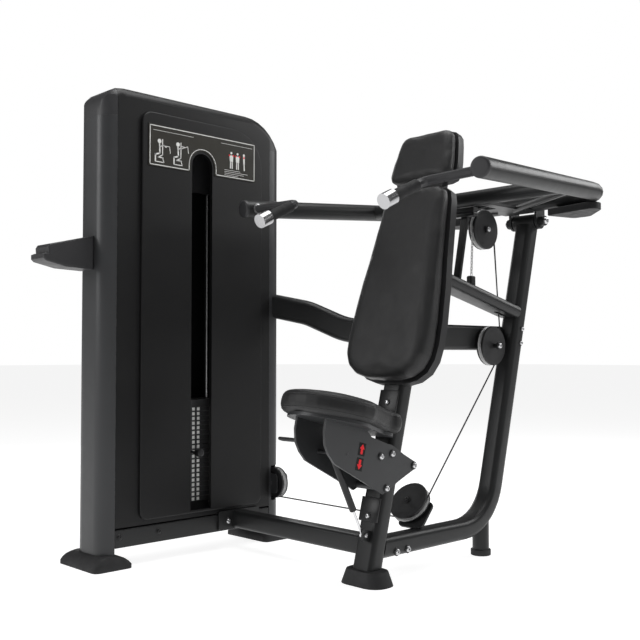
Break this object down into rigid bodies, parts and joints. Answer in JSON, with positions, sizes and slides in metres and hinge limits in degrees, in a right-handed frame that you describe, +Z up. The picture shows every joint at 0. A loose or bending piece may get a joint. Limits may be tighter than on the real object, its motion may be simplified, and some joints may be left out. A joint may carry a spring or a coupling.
{
  "type": "shoulder press machine",
  "caption": "Seated shoulder press machine: a covered weight tower drives a swinging press arm over an adjustable seat and back.",
  "frame": {"origin": "centre of the machine's footprint box, on the floor", "axes": "+Z up; the seated user faces -Y; the weight tower stands at -X and its slotted face looks to +X"},
  "size_m": [1.3932, 1.5572, 1.546],
  "materials": {
    "frame_paint": "charcoal powder coat, satin",
    "upright_paint": "dark grey powder coat, satin",
    "cover_shell": "near-black powder coat, satin",
    "cap_plastic": "dark grey moulded plastic",
    "foot_rubber": "black rubber",
    "grip_rubber": "black foam rubber",
    "upholstery": "black vinyl upholstery",
    "back_board": "black backing board",
    "weight_plate": "grey enamel on steel plates",
    "black_metal": "black enamel",
    "pulley_nylon": "black glass-filled nylon",
    "chrome": "polished chrome",
    "cast_iron": "black painted cast iron",
    "placard": null,
    "cable": "black nylon-coated wire rope"
  },
  "bodies": {
    "frame": {"arm_stop": "foot_rubber", "back_board": "back_board", "backrest_pad": "upholstery", "bottle_holder": "cap_plastic", "cable_above_stack": "cable", "cable_run": "cable", "cross_tube": "frame_paint", "diagonal_tube": "frame_paint", "guide_rod_frame": "chrome", "headrest_pad": "upholstery", "main_post": "frame_paint", "mid_beam": "frame_paint", "placard": "placard", "post_foot": "foot_rubber", "rear_foot": "foot_rubber", "rear_frame": "frame_paint", "stack_cushion": "foot_rubber", "stack_resting_plates": "weight_plate", "tower_bottom_rail": "frame_paint", "tower_brace": "frame_paint", "tower_front_cap": "cap_plastic", "tower_front_cover": "cover_shell", "tower_front_foot": "foot_rubber", "tower_front_upright": "upright_paint", "tower_rear_cap": "cap_plastic", "tower_rear_cover": "cover_shell", "tower_rear_foot": "foot_rubber", "tower_rear_upright": "upright_paint"},
    "press_arm": {"arm_tube": "frame_paint", "front_cross_tube": "frame_paint", "arm_cap_right": "cap_plastic", "arm_cap_left": "cap_plastic", "arm_yoke": "frame_paint", "pivot_ears": "frame_paint", "counterweight_left": "cast_iron", "counterweight_right": "cast_iron", "handle_left": "chrome", "handle_right": "chrome", "grip_left": "grip_rubber", "grip_right": "grip_rubber"},
    "pulley_hanger": {"pulley_hanger": "black_metal", "cable_over_arm_pulley": "cable"},
    "arm_pulley": {"arm_pulley": "pulley_nylon"},
    "cable_rise": {"cable_rise": "cable"},
    "cable_drop": {"cable_drop": "cable"},
    "weight_stack": {"stack_lifted_plates": "weight_plate", "stack_top_plate": "weight_plate"},
    "selector_pin": {"selector_pin": "black_metal"},
    "base_pulley": {"base_pulley": "pulley_nylon"},
    "stack_top_pulley": {"stack_top_pulley": "pulley_nylon"},
    "rear_top_pulley": {"rear_top_pulley": "pulley_nylon"},
    "floor_pulley": {"floor_pulley": "pulley_nylon"},
    "beam_pulley": {"beam_pulley": "pulley_nylon"},
    "seat": {"seat_frame": "upright_paint", "seat_pad": "upholstery"},
    "seat_lever": {"seat_lever": "black_metal"},
    "gas_rod": {"gas_spring_rod": "chrome"},
    "gas_body": {"gas_spring_body": "black_metal"}
  },
  "joints": [
    {"name": "press_arm_swing", "type": "hinge", "parent": "frame", "child": "press_arm", "pos_m": [0.19, 0.745, 1.16], "axis": [-1, 0, 0], "range_deg": [0, 35]},
    {"name": "stack_lift", "type": "slide", "parent": "frame", "child": "weight_stack", "axis": [0, 0, 1], "range_m": [0, 0.306], "deforming": ["cable_above_stack"]},
    {"name": "selector_pin_pull", "type": "slide", "parent": "weight_stack", "child": "selector_pin", "axis": [1, 0, 0], "range_m": [0, 0.06]},
    {"name": "hanger_swivel", "type": "hinge", "parent": "press_arm", "child": "pulley_hanger", "pos_m": [0.19, 0.476, 1.19], "axis": [1, 0, 0], "range_deg": [0, 29]},
    {"name": "arm_pulley_spin", "type": "hinge", "parent": "pulley_hanger", "child": "arm_pulley", "pos_m": [0.19, 0.476, 1.108], "axis": [1, 0, 0], "range_deg": [0, 165]},
    {"name": "cable_rise_turn", "type": "hinge", "parent": "frame", "child": "cable_rise", "pos_m": [0.19, 0.517, 0.708], "axis": [-1, 0, 0], "range_deg": [0, 8]},
    {"name": "cable_drop_turn", "type": "hinge", "parent": "frame", "child": "cable_drop", "pos_m": [0.19, 0.405, 0.9455], "axis": [-1, 0, 0], "range_deg": [0, 8.5]},
    {"name": "stack_top_pulley_spin", "type": "hinge", "parent": "frame", "child": "stack_top_pulley", "pos_m": [-0.585, -0.1715, 1.425], "axis": [-1, 0, 0], "range_deg": [0, 300]},
    {"name": "rear_top_pulley_spin", "type": "hinge", "parent": "frame", "child": "rear_top_pulley", "pos_m": [-0.585, 0.0615, 1.3], "axis": [-1, 0, 0], "range_deg": [0, 300]},
    {"name": "base_pulley_spin", "type": "hinge", "parent": "frame", "child": "base_pulley", "pos_m": [-0.488, 0.118, 0.208], "axis": [0, -1, 0], "range_deg": [0, 356]},
    {"name": "floor_pulley_spin", "type": "hinge", "parent": "frame", "child": "floor_pulley", "pos_m": [0.1315, 0.15, 0.202], "axis": [0, -0.751, 0.6603], "range_deg": [0, 300]},
    {"name": "beam_pulley_spin", "type": "hinge", "parent": "frame", "child": "beam_pulley", "pos_m": [0.19, 0.517, 0.708], "axis": [1, 0, 0], "range_deg": [0, 300]},
    {"name": "seat_height", "type": "slide", "parent": "frame", "child": "seat", "axis": [0, 0.2538, 0.9673], "range_m": [-0.06, 0.035]},
    {"name": "seat_lever_lift", "type": "hinge", "parent": "seat", "child": "seat_lever", "pos_m": [0.122, -0.24924, 0.41692], "axis": [-1, 0, 0], "range_deg": [0, 20], "stiffness_Nm_per_rad": 0.8},
    {"name": "gas_rod_swing", "type": "hinge", "parent": "frame", "child": "gas_rod", "pos_m": [0.19, -0.136, 0.146], "axis": [-1, 0, 0], "range_deg": [-10, 7]},
    {"name": "gas_body_slide", "type": "slide", "parent": "gas_rod", "child": "gas_body", "axis": [0, -0.4501, 0.893], "range_m": [-0.05, 0.03]}
  ],
  "couplings": [
    {"joint": "stack_lift", "follows": "press_arm_swing", "m_per_rad": 0.4975},
    {"joint": "hanger_swivel", "follows": "press_arm_swing", "ratio": 0.81},
    {"joint": "arm_pulley_spin", "follows": "press_arm_swing", "ratio": 4.6},
    {"joint": "cable_rise_turn", "follows": "press_arm_swing", "ratio": 0.213},
    {"joint": "cable_drop_turn", "follows": "press_arm_swing", "ratio": 0.225},
    {"joint": "stack_top_pulley_spin", "follows": "press_arm_swing", "ratio": 8.504},
    {"joint": "rear_top_pulley_spin", "follows": "press_arm_swing", "ratio": 8.504},
    {"joint": "floor_pulley_spin", "follows": "press_arm_swing", "ratio": 8.504},
    {"joint": "beam_pulley_spin", "follows": "press_arm_swing", "ratio": 8.504},
    {"joint": "base_pulley_spin", "follows": "press_arm_swing", "ratio": 10.153},
    {"joint": "gas_rod_swing", "follows": "seat_height", "rad_per_m": 2.5},
    {"joint": "gas_body_slide", "follows": "seat_height", "ratio": 0.712}
  ]
}
